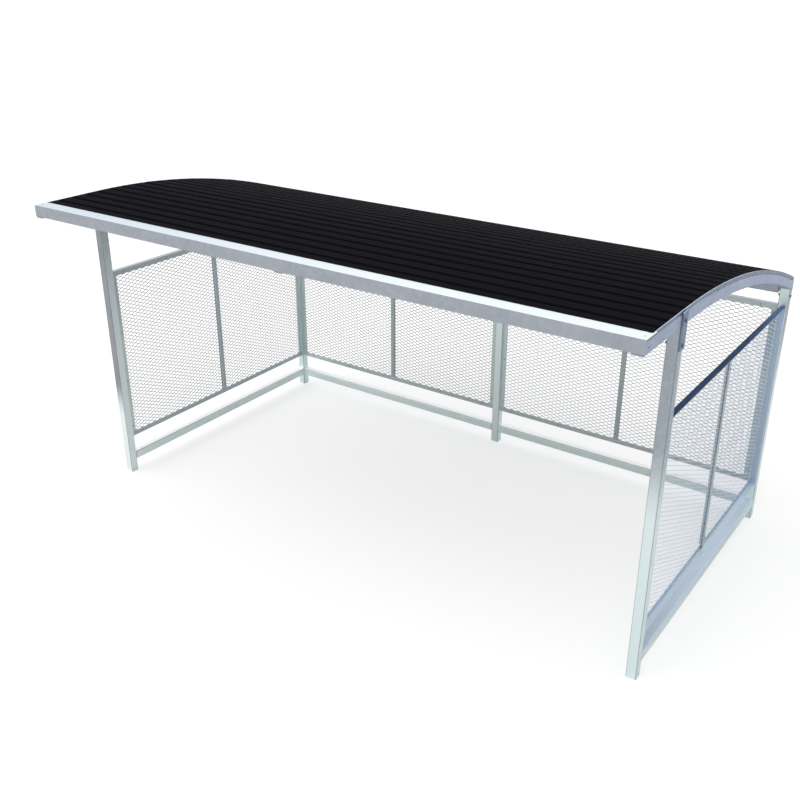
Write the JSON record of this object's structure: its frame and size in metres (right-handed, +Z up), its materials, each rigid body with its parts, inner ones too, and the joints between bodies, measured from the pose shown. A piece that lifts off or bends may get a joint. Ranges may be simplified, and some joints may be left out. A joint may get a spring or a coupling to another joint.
{
  "type": "open bike shelter",
  "caption": "Open-fronted bike shelter: square tube frame, mesh panels on the sides and back, and a ribbed roof that bends down to the rear.",
  "frame": {"origin": "middle of the shelter's outline on the ground", "axes": "+X along the length to the right as seen from the open front, +Y from the front to the back, +Z up"},
  "size_m": [4.0888, 2.488, 2.1013],
  "materials": {
    "frame_tube": "hot-dip galvanised, pale dull grey",
    "flat_steel": "hot-dip galvanised",
    "fascia": "galvanised sheet with a faint spangle",
    "angle_frame": "hot-dip galvanised",
    "mesh": "galvanised expanded metal",
    "roof_sheet": "black coated sheet, satin",
    "bolts": "zinc plated"
  },
  "bodies": {
    "root": {"front_left_post": "frame_tube", "front_right_post": "frame_tube", "rear_left_post": "frame_tube", "rear_middle_post": "frame_tube", "rear_right_post": "frame_tube", "left_roof_arch": "frame_tube", "middle_roof_arch": "frame_tube", "right_roof_arch": "frame_tube", "rear_left_eave_beam": "frame_tube", "rear_right_eave_beam": "frame_tube", "left_bottom_rail": "frame_tube", "right_bottom_rail": "frame_tube", "rear_left_bottom_rail": "frame_tube", "rear_right_bottom_rail": "frame_tube", "left_verge_bar": "flat_steel", "right_verge_bar": "flat_steel", "front_left_post_plate": "flat_steel", "front_right_post_plate": "flat_steel", "left_panel_mullion": "flat_steel", "right_panel_mullion": "flat_steel", "rear_left_panel_mullion": "flat_steel", "rear_right_panel_mullion": "flat_steel", "front_fascia": "fascia", "left_panel_frame": "angle_frame", "right_panel_frame": "angle_frame", "rear_left_panel_frame": "angle_frame", "rear_right_panel_frame": "angle_frame", "left_mesh_panel": "mesh", "right_mesh_panel": "mesh", "rear_left_mesh_panel": "mesh", "rear_right_mesh_panel": "mesh", "front_roof_sheet": "roof_sheet", "middle_roof_sheet": "roof_sheet", "rear_roof_sheet": "roof_sheet", "post_bolts": "bolts"}
  },
  "joints": []
}
